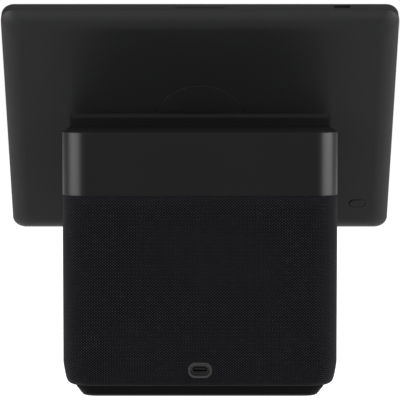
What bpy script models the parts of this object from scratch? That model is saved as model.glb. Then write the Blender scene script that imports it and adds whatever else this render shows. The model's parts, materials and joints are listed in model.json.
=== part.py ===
"""Smart display: a touch screen that tilts on a fabric-covered speaker base.

World frame: origin at the centre of the foot's underside, +Z up, the screen faces -Y.
Slope frame: origin on the tilt axis, +Y out of the screen's back, +Z up the screen.
"""

import math

import bmesh
import bpy
from mathutils import Matrix, Vector

# Driving dimensions, in metres and degrees.
GAP = 0.0003  # between pieces that touch

BASE_WIDTH = 0.1675
BASE_DEPTH = 0.118
BASE_CORNER = 0.0155
PAD_THICKNESS = 0.0016
PAD_INSET = 0.0114
PAD_EDGE = ((0, 0.0014), (0.0003, 0.0008), (0.0012, 0.0003), (0.0034, 0))  # inset, height
FOOT_HEIGHT = 0.005
FOOT_TOP_INSET = 0.0079
FOOT_TAPER = 0.0031
DECK_HEIGHT = 0.0041
FABRIC_HEIGHT = 0.1163
FABRIC_THICKNESS = 0.0012
FABRIC_EDGE = (  # the lower edge's profile: inset, height above the edge
    (0, 0.0150), (0.0004, 0.0119), (0.0008, 0.0089), (0.0015, 0.0052), (0.0021, 0.0032),
    (0.0028, 0.0018), (0.0040, 0.0007), (0.0055, 0.0001), (0.0070, 0),
)
LIP_WIDTH = 0.004
GRILLE_THICKNESS = 0.0018
SLOT_PITCH = 0.016
SLOT_OPENING = 0.009
SLOT_END_MARGIN = 0.015
CAP_HEIGHT = 0.0381
CAP_WALL = 0.0025
CAP_EDGE = 0.001

PLINTH_SCREW_SIDE = 0.018  # from the cabinet's sides
PLINTH_SCREW_END = 0.01785  # from the cabinet's front and rear
PLINTH_SCREW_HEAD = 0.0028
PLINTH_SCREW_SHANK = 0.0015
PLINTH_SCREW_LENGTH = 0.012

CABINET_INSET = 0.0093
CABINET_REAR_INSET = 0.017
CABINET_WALL = 0.0024
CABINET_CORNER = 0.006
LID_THICKNESS = 0.003
LID_DROP = 0.0012

WOOFER_RADIUS = 0.0375
WOOFER_DEPTH = 0.018
WOOFER_FLOOR = 0.010
TWEETER_RADIUS = 0.014
TWEETER_SPACING = 0.104
TWEETER_HEADROOM = 0.004
RADIATOR_RADIUS = 0.034

PORT_HEIGHT = 0.0177
PORT_WIDTH = 0.0146
PORT_TALL = 0.0091
PORT_RIM = 0.0015
PORT_RECESS = 0.0048
PORT_FLANGE = 0.0004
BOARD_THICKNESS = 0.0016
AMPLIFIER_SIZE = (0.096, 0.060)
AMPLIFIER_PLACE = 0.008  # rearward of the base's middle
HEAT_SINK_SIZE = (0.050, 0.036, 0.0025)
FIN_HEIGHT = 0.010
CABLE_RADIUS = 0.0017
INLET_WIDTH = 0.00894
INLET_TALL = 0.00326

TILT = 34.34  # screen's lean from the vertical
AXIS_BEHIND_FRONT = 0.00745
AXIS_ABOVE_CAP = 0.0046
SCREEN_WIDTH = 0.251
SCREEN_HEIGHT = 0.175
SCREEN_CORNER = 0.0085
SCREEN_DROP = 0.00375  # screen's middle below the tilt axis
SHELL_DEPTH = 0.007
SHELL_STRAIGHT = 0.0007  # upright edge of the shell, before its rounding
SHELL_WALL = 0.0018
ROUND_REACH = 0.012  # how far in the rounding of the back runs
AXIS_UNDER_BACK = 0.005
FRAME_DEPTH = 0.0062
FRAME_RIM = 0.0012
GLASS_THICKNESS = 0.00085
LEDGE_THICKNESS = 0.0009
PANEL_THICKNESS = 0.0023
PANEL_SIDE_INSET = 0.011
PANEL_END_INSET = 0.013
BACK_PLATE_THICKNESS = 0.0008
BACK_PLATE_OVERLAP = (0.0035, 0.0015)  # past the panel, at the sides and at the ends

PLATE_CLEARANCE = 0.0079
PLATE_THICKNESS = 0.004
PLATE_RISE = 0.0135  # top of the hinge plate above the tilt axis, along the slope
PLATE_SCREW_SPREAD = 0.05025
PLATE_SCREW_DROP = 0.012  # below the tilt axis, along the slope
PLATE_SCREW_HEAD = 0.0024
PLATE_SCREW_SHANK = 0.0012
NECK_WIDTH = 0.030
NECK_HEIGHT = 0.0072
SHAFT_RADIUS = 0.0012
WASHER_THICKNESS = 0.001
EYE_WIDTH = 0.006
EYE_RADIUS = 0.0028
NUT_RADIUS = 0.0021
NUT_WIDTH = 0.0025
BRACKET_LENGTH = 0.024
BRACKET_HEIGHT = 0.018
BRACKET_THICKNESS = 0.0012
DISC_MARGIN = 0.0038  # of the disc past the shaft's ends
DISC_LAP = 0.003  # of the disc's flange behind the shell
DISC_FLANGE = 0.0012
SLOT_SIDE_CLEARANCE = 0.003  # of the neck in the disc's slot
SLOT_TILT_CLEARANCE = 0.004
SLOT_CORNER = 0.0055

MAIN_BOARD_WIDTH = 0.150
MAIN_BOARD_ABOVE_AXIS = 0.0187
MAIN_BOARD_BELOW_TOP = 0.017
MAIN_BOARD_BACK = -0.0004  # from the tilt axis, out of the back
THIN_BOARD = 0.0008
SHIELD_SIZE = (0.044, 0.002, 0.032)
SHIELD_PLACE = 0.048

CONTROL_LINE = 0.0037  # of the top edge's controls, behind the frame's front
ROCKER_LENGTH = 0.0315
ROCKER_WIDTH = 0.0022
ROCKER_DEPTH = 0.0036
ROCKER_PROUD = 0.0005
ROCKER_PIVOT = 0.004  # below the screen's top
CONTROL_CLEARANCE = 0.00035
SLIDER_LENGTH = 0.0104
SLIDER_WIDTH = 0.0024
SLIDER_TRAVEL = 0.010
SLIDER_FROM_SIDE = 0.026
RECESS_DEPTH = 0.0012
STEM_WIDTH = 0.0024
STEM_DEPTH = 0.001
STEM_LAP = 0.0006  # of the stem's lower end on the blade
BLADE_SIZE = (0.0084, 0.0005, 0.008)
BLADE_DROP = 0.0008  # blade's top, below the shell's inner face
SLIT_DEPTH = 0.004
CAMERA_BELOW_TOP = 0.007
CAMERA_RADIUS = 0.0022
CAMERA_DEPTH = 0.0035
LENS_THICKNESS = 0.0006
BUTTON_LENGTH = 0.0102
BUTTON_TALL = 0.0055
BUTTON_FROM_SIDE = 0.0210
BUTTON_FROM_BOTTOM = 0.0250
BUTTON_PROUD = 0.0004
BUTTON_FLANGE = 0.0009
BUTTON_TRAVEL = 0.0008

# Levels and places that follow from them.
foot_bottom = PAD_THICKNESS + GAP
foot_top = foot_bottom + FOOT_HEIGHT
deck_top = foot_top + DECK_HEIGHT
fabric_bottom = foot_top + GAP
fabric_top = fabric_bottom + FABRIC_HEIGHT
cap_bottom = fabric_top + GAP
cap_top = cap_bottom + CAP_HEIGHT
lid_top = fabric_top - LID_DROP
lid_bottom = lid_top - LID_THICKNESS
cabinet_bottom = deck_top + GAP
cabinet_top = lid_bottom - GAP
cabinet_width = BASE_WIDTH - 2 * CABINET_INSET
cabinet_front = -BASE_DEPTH / 2 + CABINET_INSET
cabinet_rear = BASE_DEPTH / 2 - CABINET_REAR_INSET
cabinet_depth = cabinet_rear - cabinet_front
cabinet_middle = (cabinet_front + cabinet_rear) / 2
grille_inset = FABRIC_THICKNESS + GAP
lip_inset = FABRIC_EDGE[-1][0] + LIP_WIDTH
axis_place = Vector((0, -BASE_DEPTH / 2 + AXIS_BEHIND_FRONT, cap_top + AXIS_ABOVE_CAP))

back = AXIS_UNDER_BACK
shell_front = back - SHELL_DEPTH
frame_back = shell_front - GAP
frame_front = frame_back - FRAME_DEPTH
glass_front = frame_front + 0.00005
glass_back = glass_front + GLASS_THICKNESS
ledge_front = glass_back + GAP
ledge_back = ledge_front + LEDGE_THICKNESS
panel_back = ledge_front + PANEL_THICKNESS
panel_width = SCREEN_WIDTH - 2 * PANEL_SIDE_INSET
panel_height = SCREEN_HEIGHT - 2 * PANEL_END_INSET
back_plate_front = panel_back + GAP
back_plate_back = back_plate_front + BACK_PLATE_THICKNESS
screen_middle = -SCREEN_DROP
screen_top = screen_middle + SCREEN_HEIGHT / 2
control_line = frame_front + CONTROL_LINE
slider_place = SLIDER_FROM_SIDE - SCREEN_WIDTH / 2
button_across = BUTTON_FROM_SIDE - SCREEN_WIDTH / 2
button_up = screen_middle - SCREEN_HEIGHT / 2 + BUTTON_FROM_BOTTOM

washer_start = NECK_WIDTH / 2 + GAP
eye_start = washer_start + WASHER_THICKNESS + GAP
nut_start = eye_start + EYE_WIDTH + GAP
shaft_end = nut_start + NUT_WIDTH + 0.0005
disc_radius = shaft_end + DISC_MARGIN

plate_front = back + PLATE_CLEARANCE
plate_back = plate_front + PLATE_THICKNESS
cap_slope = plate_back + GAP


# Collections and frames.
def clear_scene():
    for item in list(bpy.data.objects):
        bpy.data.objects.remove(item)


def new_collection(name):
    collection = bpy.data.collections.new(name)
    bpy.context.scene.collection.children.link(collection)
    return collection


clear_scene()
parts = new_collection("smart_display")
guides = new_collection("cutters")


def slope_frame(name):
    frame = bpy.data.objects.new(name, None)
    frame.location = axis_place
    frame.rotation_euler.x = -math.radians(TILT)
    parts.objects.link(frame)
    return frame


hinge_side = slope_frame("hinge_side")
screen = slope_frame("screen")


def new_material(name, colour, roughness, metallic=0.0):
    material = bpy.data.materials.new(name)
    material.use_nodes = True
    shader = material.node_tree.nodes["Principled BSDF"]
    shader.inputs["Base Color"].default_value = (*colour, 1.0)
    shader.inputs["Roughness"].default_value = roughness
    shader.inputs["Metallic"].default_value = metallic
    material.diffuse_color = (*colour, 1.0)
    return material


finishes = {
    "black_plastic": new_material("black_plastic", (0.014, 0.014, 0.015), 0.45),
    "screen_plastic": new_material("screen_plastic", (0.026, 0.026, 0.027), 0.5),
    "inner_plastic": new_material("inner_plastic", (0.06, 0.06, 0.065), 0.6),
    "fabric": new_material("fabric", (0.016, 0.017, 0.024), 0.95),
    "rubber": new_material("rubber", (0.02, 0.02, 0.02), 0.85),
    "steel": new_material("steel", (0.55, 0.56, 0.58), 0.3, 1.0),
    "aluminium": new_material("aluminium", (0.75, 0.76, 0.78), 0.35, 1.0),
    "ferrite": new_material("ferrite", (0.09, 0.09, 0.10), 0.5),
    "paper": new_material("paper", (0.05, 0.05, 0.055), 0.9),
    "silk": new_material("silk", (0.10, 0.09, 0.08), 0.7),
    "circuit": new_material("circuit", (0.02, 0.12, 0.06), 0.5),
    "glass": new_material("glass", (0.005, 0.005, 0.006), 0.05),
    "panel": new_material("panel", (0.02, 0.02, 0.03), 0.2),
}


# Modelling helpers.
def place(name, mesh_data, finish, at, turn=(0, 0, 0), parent=None, cutter=False):
    item = bpy.data.objects.new(name, mesh_data)
    (guides if cutter else parts).objects.link(item)
    item.parent = parent
    item.location = at
    item.rotation_euler = [math.radians(angle) for angle in turn]
    if cutter:
        item.hide_render = True
        item.display_type = "WIRE"
    else:
        mesh_data.materials.append(finishes[finish])
    return item


def mesh_from(name, bm):
    data = bpy.data.meshes.new(name)
    bm.to_mesh(data)
    bm.free()
    data.shade_smooth()
    data.set_sharp_from_angle(angle=math.radians(35))
    return data


def block(size, corner=0.0, axis=2, segments=4, rim=None):
    """A box centred on the origin; corner rounds the edges along axis, rim = (side, radius, segments)
    those round one end."""
    bm = bmesh.new()
    bmesh.ops.create_cube(bm, size=1.0)
    bmesh.ops.scale(bm, vec=size, verts=bm.verts)
    if corner:
        along = [e for e in bm.edges if abs((e.verts[0].co - e.verts[1].co)[axis]) > size[axis] / 2]
        bmesh.ops.bevel(bm, geom=along, offset=corner, segments=segments, profile=0.5, affect="EDGES")
    if rim:
        side, radius, steps = rim
        edge = side * size[axis] / 2
        ends = [e for e in bm.edges if all(abs(v.co[axis] - edge) < 1e-6 for v in e.verts)]
        bmesh.ops.bevel(bm, geom=ends, offset=radius, segments=steps, profile=0.5, affect="EDGES")
    return bm


def stadium(width, tall, depth, axis=1, segments=6):
    """A pill outline, width across X, of the given depth along axis."""
    size = [width, 0, 0]
    size[axis] = depth
    size[3 - axis] = tall
    return block(size, min(width, tall) / 2 * 0.999, axis, segments)


def end_face(bm, axis, side):
    return max(bm.faces, key=lambda face: side * face.calc_center_median()[axis])


def opened(bm, axis, side):
    bmesh.ops.delete(bm, geom=[end_face(bm, axis, side)], context="FACES")
    return bm


def rod(radius, length, axis=2, segments=24):
    bm = bmesh.new()
    bmesh.ops.create_cone(
        bm, cap_ends=True, segments=segments, radius1=radius, radius2=radius, depth=length
    )
    turns = {0: Matrix.Rotation(math.pi / 2, 4, "Y"), 1: Matrix.Rotation(math.pi / 2, 4, "X")}
    if axis in turns:
        bmesh.ops.transform(bm, matrix=turns[axis], verts=bm.verts)
    return bm


def shifted(bm, offset):
    bmesh.ops.translate(bm, vec=offset, verts=bm.verts)
    return bm


def walled(item, thickness):
    wall = item.modifiers.new("wall", "SOLIDIFY")
    wall.thickness = thickness
    wall.offset = -1
    wall.use_even_offset = True


def combine(item, operation, other):
    step = item.modifiers.new(operation.lower(), "BOOLEAN")
    step.operation = operation
    step.object = other
    step.solver = "EXACT"


def guide(name, bm, at=(0, 0, 0), turn=(0, 0, 0), parent=None):
    return place(name, mesh_from(name, bm), None, at, turn, parent, cutter=True)


def piece(name, bm, finish, at=(0, 0, 0), turn=(0, 0, 0), parent=None):
    return place(name, mesh_from(name, bm), finish, at, turn, parent)


def cut(item, bm, at=(0, 0, 0), turn=(0, 0, 0), parent=None):
    number = len(item.modifiers)
    combine(item, "DIFFERENCE", guide(f"{item.name}_cut_{number}", bm, at, turn, parent))


def join(item, bm, at=(0, 0, 0), turn=(0, 0, 0), parent=None):
    number = len(item.modifiers)
    combine(item, "UNION", guide(f"{item.name}_join_{number}", bm, at, turn, parent))


def turned(name, profile, finish, at, turn=(0, 0, 0), parent=None, steps=28, closed=True):
    """A profile of (radius, height) spun about Z; its outer side runs from top to bottom."""
    data = bpy.data.meshes.new(name)
    edges = [(i, i + 1) for i in range(len(profile) - 1)]
    if closed:
        edges.append((len(profile) - 1, 0))
    data.from_pydata([(radius, 0, height) for radius, height in profile], edges, [])
    item = place(name, data, finish, at, turn, parent)
    spin = item.modifiers.new("spin", "SCREW")
    spin.steps = spin.render_steps = steps
    spin.use_merge_vertices = True
    spin.merge_threshold = 0.00001
    return item


def arc(centre, radius, start, end, steps):
    """Points on an arc in a profile, angles in degrees."""
    angles = [math.radians(start + (end - start) * i / steps) for i in range(steps + 1)]
    return [(centre[0] + radius * math.cos(a), centre[1] + radius * math.sin(a)) for a in angles]


def screw(name, head, shank, length, at, turn=(0, 0, 0), parent=None):
    """A pan-head screw: the head's underside at the origin, the shank running down -Z."""
    top = head * 0.7
    profile = [(0, top), (head * 0.8, top), (head, top * 0.6), (head, 0), (shank, 0)]
    profile += [(shank, -length + shank / 2), (shank / 2, -length), (0, -length)]
    turned(name, profile, "steel", at, turn, parent, steps=12, closed=False)


def stepped(bm, axis, side, size, steps):
    """Draws one end of a block out in steps of (inset, distance), each from the step before it."""
    across = [i for i in range(3) if i != axis]
    face = end_face(bm, axis, side)
    last_inset = 0
    for inset, distance in steps:
        made = bmesh.ops.extrude_face_region(bm, geom=[face])["geom"]
        bmesh.ops.delete(bm, geom=[face], context="FACES_ONLY")
        face = next(part for part in made if isinstance(part, bmesh.types.BMFace))
        for vert in face.verts:
            for i in across:
                vert.co[i] *= (size[i] - 2 * inset) / (size[i] - 2 * last_inset)
            vert.co[axis] += side * distance
        last_inset = inset
    return bm


def outline(inset, bottom, top, rim=None, segments=5, edge=None, corner=None):
    """The base's rounded outline, drawn in by inset, from bottom to top; edge shapes its foot as
    (inset, height above the bottom)."""
    start = bottom + edge[0][1] if edge else bottom
    size = (BASE_WIDTH - 2 * inset, BASE_DEPTH - 2 * inset, top - start)
    bm = block(size, corner or max(BASE_CORNER - inset, 0.003), 2, segments, rim)
    if edge:
        steps = [(low[0], high[1] - low[1]) for high, low in zip(edge, edge[1:])]
        stepped(bm, 2, -1, size, steps)
    return shifted(bm, (0, 0, (top + start) / 2))


def drawn_in(edge, distance):
    """The profile of an edge moved inwards by an even distance."""
    moved = [(edge[0][0], edge[0][1])]
    for before, point, after in zip(edge, edge[1:], edge[2:]):
        run, rise = after[0] - before[0], before[1] - after[1]
        length = math.hypot(run, rise)
        moved.append((point[0] + distance * (rise / length - 1), point[1] + distance * run / length))
    moved.append((edge[-1][0] - distance, edge[-1][1] + distance))
    return moved


# The base, from the ground up.
def make_foot():
    pad = outline(PAD_INSET, 0, PAD_THICKNESS, edge=PAD_EDGE)
    piece("rubber_foot", pad, "rubber")

    foot = outline(FOOT_TOP_INSET, foot_bottom, foot_top)
    for vert in foot.verts:
        if vert.co.z < (foot_bottom + foot_top) / 2:
            vert.co.x *= 1 - 2 * FOOT_TAPER / (BASE_WIDTH - 2 * FOOT_TOP_INSET)
            vert.co.y *= 1 - 2 * FOOT_TAPER / (BASE_DEPTH - 2 * FOOT_TOP_INSET)
    plinth = piece("base_plinth", foot, "black_plastic")
    overlap = 0.001
    deck = outline(lip_inset + GAP, foot_top - overlap, deck_top, corner=BASE_CORNER - LIP_WIDTH)
    join(plinth, deck)

    head_seat = foot_bottom + 0.0026
    sink_radius, sink_depth = PLINTH_SCREW_HEAD + 0.0004, 0.008
    hole_radius, hole_depth = PLINTH_SCREW_SHANK + GAP, 0.04
    for number, (across, along) in enumerate(plinth_screws(), start=1):
        cut(plinth, rod(sink_radius, sink_depth, segments=16), (across, along, head_seat - sink_depth / 2))
        cut(plinth, rod(hole_radius, hole_depth, segments=12), (across, along, head_seat))
        screw(
            f"plinth_screw_{number}", PLINTH_SCREW_HEAD, PLINTH_SCREW_SHANK, PLINTH_SCREW_LENGTH,
            (across, along, head_seat - GAP), turn=(180, 0, 0),
        )


def plinth_screws():
    across = cabinet_width / 2 - PLINTH_SCREW_SIDE
    along = cabinet_depth / 2 - PLINTH_SCREW_END
    return [(i * across, cabinet_middle + j * along) for i in (-1, 1) for j in (-1, 1)]


def make_sleeves():
    outer = outline(0, fabric_bottom, fabric_top, edge=FABRIC_EDGE)
    fabric = piece("fabric_sleeve", with_lip(outer), "fabric")
    walled(fabric, FABRIC_THICKNESS)

    inner = outline(grille_inset, fabric_bottom, fabric_top, edge=drawn_in(FABRIC_EDGE, grille_inset))
    grille = piece("grille_shell", with_lip(inner), "inner_plastic")
    walled(grille, GRILLE_THICKNESS)
    cut(grille, grille_slots())

    through = 0.012
    hole = (PORT_WIDTH - 2 * PORT_FLANGE, PORT_TALL - 2 * PORT_FLANGE + GAP / 3)
    for sleeve in (fabric, grille):
        cut(sleeve, stadium(*hole, through), (0, BASE_DEPTH / 2, PORT_HEIGHT))


def with_lip(bm):
    """Opens the top, and leaves a lip round an opening in the floor."""
    floor = end_face(bm, 2, -1)
    bmesh.ops.inset_region(bm, faces=[floor], thickness=LIP_WIDTH)
    bmesh.ops.delete(bm, geom=[floor], context="FACES")
    return opened(bm, 2, 1)


def grille_slots():
    slots = bmesh.new()
    slot_height = FABRIC_HEIGHT - 2 * SLOT_END_MARGIN
    middle = (fabric_bottom + fabric_top) / 2
    through = 0.012

    def slot(size, at):
        made = bmesh.ops.create_cube(slots, size=1.0)["verts"]
        bmesh.ops.scale(slots, vec=size, verts=made)
        bmesh.ops.translate(slots, vec=at, verts=made)

    side_margin = BASE_CORNER + 0.005
    across = int((BASE_WIDTH / 2 - side_margin) / SLOT_PITCH)
    along = int((BASE_DEPTH / 2 - side_margin) / SLOT_PITCH)
    for i in range(-across, across + 1):
        slot((SLOT_OPENING, through, slot_height), (i * SLOT_PITCH, -BASE_DEPTH / 2, middle))
    for i in range(-along, along + 1):
        for side in (-1, 1):
            slot((through, SLOT_OPENING, slot_height), (side * BASE_WIDTH / 2, i * SLOT_PITCH, middle))
    return slots


def make_cap():
    cap = piece("top_cap", outline(0, cap_bottom, cap_top, rim=(1, CAP_EDGE, 2)), "black_plastic")
    reach = 0.4
    front = block((reach, reach, reach))
    cut(cap, front, (0, cap_slope - reach / 2, 0), parent=hinge_side)

    space = guide("cap_space", outline(CAP_WALL, cap_bottom - 0.01, cap_top - CAP_WALL))
    combine(space, "DIFFERENCE", guide(
        "cap_space_front", block((reach, reach, reach)),
        (0, cap_slope + CAP_WALL - reach / 2, 0), parent=hinge_side,
    ))
    combine(cap, "DIFFERENCE", space)

    plate = piece(
        "hinge_plate", block((BASE_WIDTH + 0.02, PLATE_THICKNESS, 0.1)), "black_plastic",
        (0, (plate_front + plate_back) / 2, PLATE_RISE - 0.05), parent=hinge_side,
    )
    combine(plate, "INTERSECT", guide("plate_ends", outline(0, cap_bottom, cap_top + 0.05)))

    for item in (cap, plate):
        cut(item, rod(CABLE_RADIUS + 0.0007, 0.03, 1, 16), (0, plate_back, 0), parent=hinge_side)
        for side in (-1, 1):
            spot = (side * PLATE_SCREW_SPREAD, plate_back + 0.007, -PLATE_SCREW_DROP)
            cut(item, rod(PLATE_SCREW_SHANK + GAP, 0.020, 1, 12), spot, parent=hinge_side)
    grip = CAP_WALL + 0.002
    for name, side in (("left", 1), ("right", -1)):
        screw(
            f"plate_screw_{name}", PLATE_SCREW_HEAD, PLATE_SCREW_SHANK, grip,
            (side * PLATE_SCREW_SPREAD, cap_slope + CAP_WALL + GAP, -PLATE_SCREW_DROP),
            turn=(-90, 0, 0), parent=hinge_side,
        )


# The speaker inside the base.
def make_cabinet():
    size = (cabinet_width, cabinet_depth, cabinet_top - cabinet_bottom)
    middle = (0, cabinet_middle, (cabinet_top + cabinet_bottom) / 2)
    tub = opened(block(size, CABINET_CORNER, 2, 3), 2, 1)
    cabinet = piece("speaker_cabinet", tub, "inner_plastic", middle)
    walled(cabinet, CABINET_WALL)
    boss_radius, boss_height, bore_depth = 0.004, 0.009, 0.0075
    for across, along in plinth_screws():
        boss = rod(boss_radius, boss_height - 0.001, segments=16)
        join(cabinet, boss, (across, along, cabinet_bottom + (boss_height + 0.001) / 2))
        bore = rod(PLINTH_SCREW_SHANK + GAP, 2 * bore_depth, segments=12)
        cut(cabinet, bore, (across, along, cabinet_bottom))

    lid_size = (cabinet_width, cabinet_depth, LID_THICKNESS)
    lid = piece(
        "cabinet_lid", block(lid_size, CABINET_CORNER, 2, 3), "inner_plastic",
        (0, cabinet_middle, (lid_top + lid_bottom) / 2),
    )
    wire_hole = (cabinet_width / 2 - 0.0195, cabinet_rear - 0.022, lid_top)
    cut(lid, rod(0.004, 0.02, segments=16), wire_hole)
    return cabinet


def make_woofer(cabinet):
    centre = (0, cabinet_front, cabinet_bottom + WOOFER_RADIUS + WOOFER_FLOOR)
    facing = (90, 0, 0)
    tub = WOOFER_RADIUS - 0.004
    cut(cabinet, rod(tub + 0.0006, 0.02, 1, 28), centre)
    basket = [(WOOFER_RADIUS, 0.0023), (WOOFER_RADIUS, GAP), (tub, GAP), (tub - 0.0115, -WOOFER_DEPTH)]
    basket += [(0.012, -WOOFER_DEPTH), (0.012, -WOOFER_DEPTH + 0.002)]
    basket += [(tub - 0.0127, -WOOFER_DEPTH + 0.002), (tub - 0.0017, 0.0023)]
    turned("woofer_basket", basket, "steel", centre, facing)

    magnet = [(0.020, -WOOFER_DEPTH - GAP), (0.020, -WOOFER_DEPTH - 0.011)]
    magnet += [(0.0102, -WOOFER_DEPTH - 0.011), (0.0102, -WOOFER_DEPTH - GAP)]
    turned("woofer_magnet", magnet, "ferrite", centre, facing, steps=28)

    cone_rim = tub - 0.0068
    roll_middle = (cone_rim + WOOFER_RADIUS) / 2
    roll = (WOOFER_RADIUS - cone_rim) / 2 - 0.0022
    surround = [(WOOFER_RADIUS, 0.0034), (WOOFER_RADIUS, 0.0026), (cone_rim + GAP, 0.0026)]
    surround += [(cone_rim + GAP, 0.0034)]
    surround += [(x, 0.0034 + 0.4 * (y - 0.0034)) for x, y in arc((roll_middle, 0.0034), roll, 180, 0, 4)]
    turned("woofer_surround", surround, "rubber", centre, facing)

    cone = [(0, -0.006), (0.005, -0.0064), (0.0085, -0.0080), (cone_rim, 0.0034), (cone_rim, 0.0028)]
    cone += [(0.0095, -0.0094), (0.0095, -0.014), (0.0087, -0.014), (0.0087, -0.0092), (0, -0.0074)]
    turned("woofer_cone", cone, "paper", centre, facing, closed=False)


def make_tweeters(cabinet):
    height = cabinet_top - TWEETER_RADIUS - TWEETER_HEADROOM
    body = TWEETER_RADIUS - 0.003
    for name, side in (("left", -1), ("right", 1)):
        centre = (side * TWEETER_SPACING / 2, cabinet_front, height)
        cut(cabinet, rod(body + 0.0005, 0.02, 1, 24), centre)
        horn = body - 0.001
        housing = [(0, -0.003), (horn - 0.0015, -0.003), (horn, 0.0018), (TWEETER_RADIUS, 0.0018)]
        housing += [(TWEETER_RADIUS, GAP), (body, GAP), (body, -0.012), (0, -0.012)]
        turned(f"tweeter_{name}", housing, "inner_plastic", centre, (90, 0, 0), steps=24, closed=False)
        rise = -0.003 + GAP
        dome = [(0, rise + 0.003), (0.003, rise + 0.0026), (0.0055, rise + 0.0014)]
        dome += [(0.007, rise + 0.0004), (0.007, rise), (0, rise)]
        turned(f"tweeter_dome_{name}", dome, "silk", centre, (90, 0, 0), steps=20, closed=False)


def make_radiators(cabinet):
    middle = (cabinet_bottom + cabinet_top) / 2
    for name, side in (("left", -1), ("right", 1)):
        centre = (side * cabinet_width / 2, cabinet_middle, middle)
        facing = (0, side * 90, 0)
        opening = RADIATOR_RADIUS - 0.005
        cut(cabinet, rod(opening, 0.02, 0, 28), centre)
        frame = [(RADIATOR_RADIUS, 0.0018), (RADIATOR_RADIUS, GAP), (opening, GAP), (opening, 0.0018)]
        turned(f"radiator_frame_{name}", frame, "inner_plastic", centre, facing)
        disc = opening - 0.007
        low, high = 0.0018 + GAP, 0.0018 + GAP + 0.0008
        roll_middle, roll = (disc + opening) / 2, (opening - disc) / 2 - 0.0012
        surround = [(RADIATOR_RADIUS, high), (RADIATOR_RADIUS, low), (disc + GAP, low), (disc + GAP, high)]
        surround += [(x, high + 0.3 * (y - high)) for x, y in arc((roll_middle, high), roll, 180, 0, 3)]
        turned(f"radiator_surround_{name}", surround, "rubber", centre, facing)
        plate = [(0, high), (disc - 0.002, high), (disc, high - 0.0002), (disc, low - 0.0015)]
        plate += [(0.010, low - 0.0015), (0.010, -0.006), (0, -0.006)]
        turned(f"radiator_diaphragm_{name}", plate, "aluminium", centre, facing, closed=False)


# Electronics in the base.
def make_base_electronics():
    board_middle = Vector((0, AMPLIFIER_PLACE, lid_top + GAP + BOARD_THICKNESS / 2))
    board = block((*AMPLIFIER_SIZE, BOARD_THICKNESS), 0.003, 2, 2)
    piece("amplifier_board", board, "circuit", board_middle)

    width, depth, thick = HEAT_SINK_SIZE
    sink_middle = board_middle + Vector((0, 0, (BOARD_THICKNESS + thick) / 2 + GAP))
    sink = piece("heat_sink", block(HEAT_SINK_SIZE), "aluminium", sink_middle)
    fins, fin_thickness = 6, 0.0016
    fin_middle = thick / 2 + FIN_HEIGHT / 2 - 0.00075
    for i in range(fins):
        across = (i / (fins - 1) - 0.5) * (width - 0.002)
        fin = block((fin_thickness, depth, FIN_HEIGHT))
        join(sink, fin, sink_middle + Vector((across, 0, fin_middle)))

    inlet_bottom = cabinet_rear + GAP
    power_height = 0.016
    piece(
        "power_board", block((0.036, BOARD_THICKNESS, power_height), 0.001, 1, 2), "circuit",
        (0, inlet_bottom + BOARD_THICKNESS / 2, PORT_HEIGHT + 0.0017),
    )
    bezel_front = BASE_DEPTH / 2 + GAP + PORT_FLANGE
    floor_front = bezel_front - PORT_RECESS - 0.0007
    inlet_back = inlet_bottom + BOARD_THICKNESS + GAP
    inlet_front = floor_front - 0.0004
    inlet_length = inlet_front - inlet_back
    inlet_middle = (inlet_front + inlet_back) / 2
    shell = stadium(INLET_WIDTH, INLET_TALL, inlet_length)
    inlet = piece("inlet_receptacle", shell, "steel", (0, inlet_middle, PORT_HEIGHT))
    inlet_wall, end_wall = 0.0003, 0.002
    hollow = stadium(INLET_WIDTH - 2 * inlet_wall, INLET_TALL - 2 * inlet_wall, inlet_length)
    cut(inlet, hollow, (0, inlet_middle + end_wall, PORT_HEIGHT))
    tongue = block((INLET_WIDTH - 0.00224, inlet_length - end_wall, 0.0007))
    join(inlet, tongue, (0, inlet_middle - 0.0005, PORT_HEIGHT))

    make_bezel(bezel_front, floor_front)


def make_bezel(front, floor_front):
    flange = stadium(PORT_WIDTH, PORT_TALL, PORT_FLANGE)
    bezel = piece("port_bezel", flange, "black_plastic", (0, front - PORT_FLANGE / 2, PORT_HEIGHT))
    floor, lap = 0.0014, PORT_FLANGE / 2
    depth = front - lap - floor_front + floor
    drawn = 2 * (PORT_FLANGE + GAP)
    tube = stadium(PORT_WIDTH - drawn, PORT_TALL - drawn + GAP / 3, depth)
    join(bezel, tube, (0, front - lap - depth / 2, PORT_HEIGHT))
    reach = 0.02
    recess = stadium(PORT_WIDTH - 2 * PORT_RIM, PORT_TALL - 2 * PORT_RIM, reach)
    cut(bezel, recess, (0, floor_front + reach / 2, PORT_HEIGHT))
    mouth = stadium(INLET_WIDTH + 2 * GAP, INLET_TALL + 2 * GAP, reach)
    cut(bezel, mouth, (0, floor_front, PORT_HEIGHT))


def make_cable():
    """Runs from the amplifier board up to the hinge plate, and through it into the neck."""
    slope = Matrix.Translation(axis_place) @ Matrix.Rotation(-math.radians(TILT), 4, "X")
    neck_end = slope @ Vector((0, 0.0062, 0))
    wall_end = slope @ Vector((0, cap_slope + CAP_WALL + 0.002, 0))
    board_front = AMPLIFIER_PLACE - AMPLIFIER_SIZE[1] / 2
    start = Vector((0, board_front - 0.0025, lid_top + 0.003))
    bend = wall_end + (wall_end - neck_end).normalized() * 0.012
    steps = 6
    route = []
    for i in range(steps + 1):
        t = i / steps
        route.append((1 - t) ** 2 * start + 2 * t * (1 - t) * bend + t ** 2 * wall_end)
    route += [wall_end.lerp(neck_end, i / 3) for i in range(1, 4)]

    curve = bpy.data.curves.new("display_cable", "CURVE")
    curve.dimensions = "3D"
    curve.bevel_depth = CABLE_RADIUS
    curve.bevel_resolution = 2
    curve.use_fill_caps = True
    line = curve.splines.new("POLY")
    line.points.add(len(route) - 1)
    for point, spot in zip(line.points, route):
        point.co = (*spot, 1)
    cable = bpy.data.objects.new("display_cable", curve)
    curve.materials.append(finishes["rubber"])
    parts.objects.link(cable)


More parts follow.
